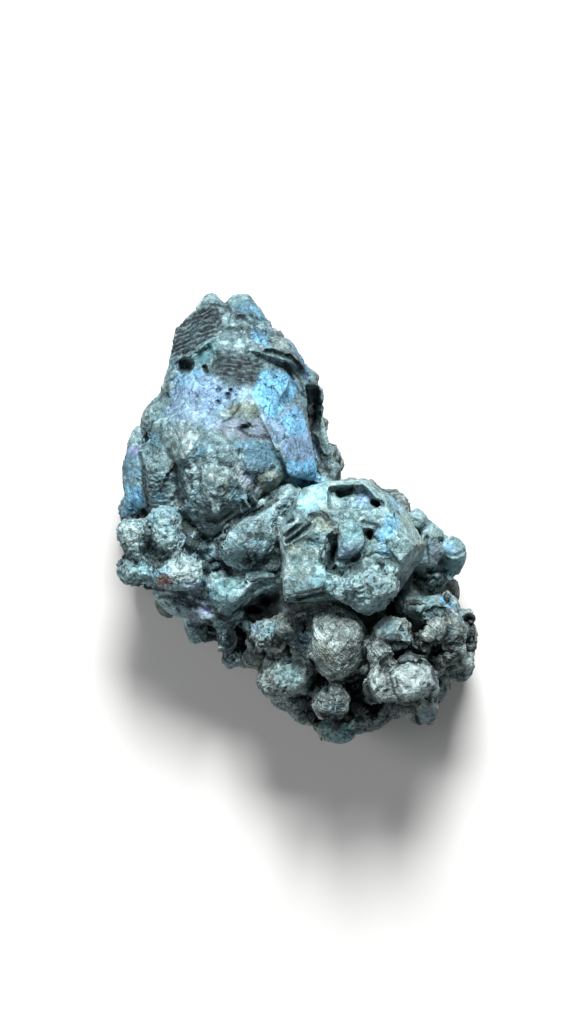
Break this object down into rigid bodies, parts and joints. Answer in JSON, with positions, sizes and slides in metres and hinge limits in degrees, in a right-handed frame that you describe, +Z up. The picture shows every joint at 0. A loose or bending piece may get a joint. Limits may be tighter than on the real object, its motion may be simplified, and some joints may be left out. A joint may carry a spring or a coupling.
{
  "type": "mineral specimen",
  "caption": "Natural cluster of tarnished chalcocite crystals: a tall rough peak beside a blocky crystal and rounded knobs, lying on its flat broken back.",
  "frame": {"origin": "bottom centre of the bounding box, on the surface that the specimen lies on", "axes": "+Y along the specimen towards its peak, +X across it towards the small stepped crystals, +Z up, out of the crystal side"},
  "size_m": [0.0364, 0.0454, 0.0254],
  "materials": {
    "chalcocite": "tarnished dark sulphide, dull metallic with blue and lilac film"
  },
  "bodies": {
    "root": {"chalcocite": "chalcocite"}
  },
  "joints": []
}
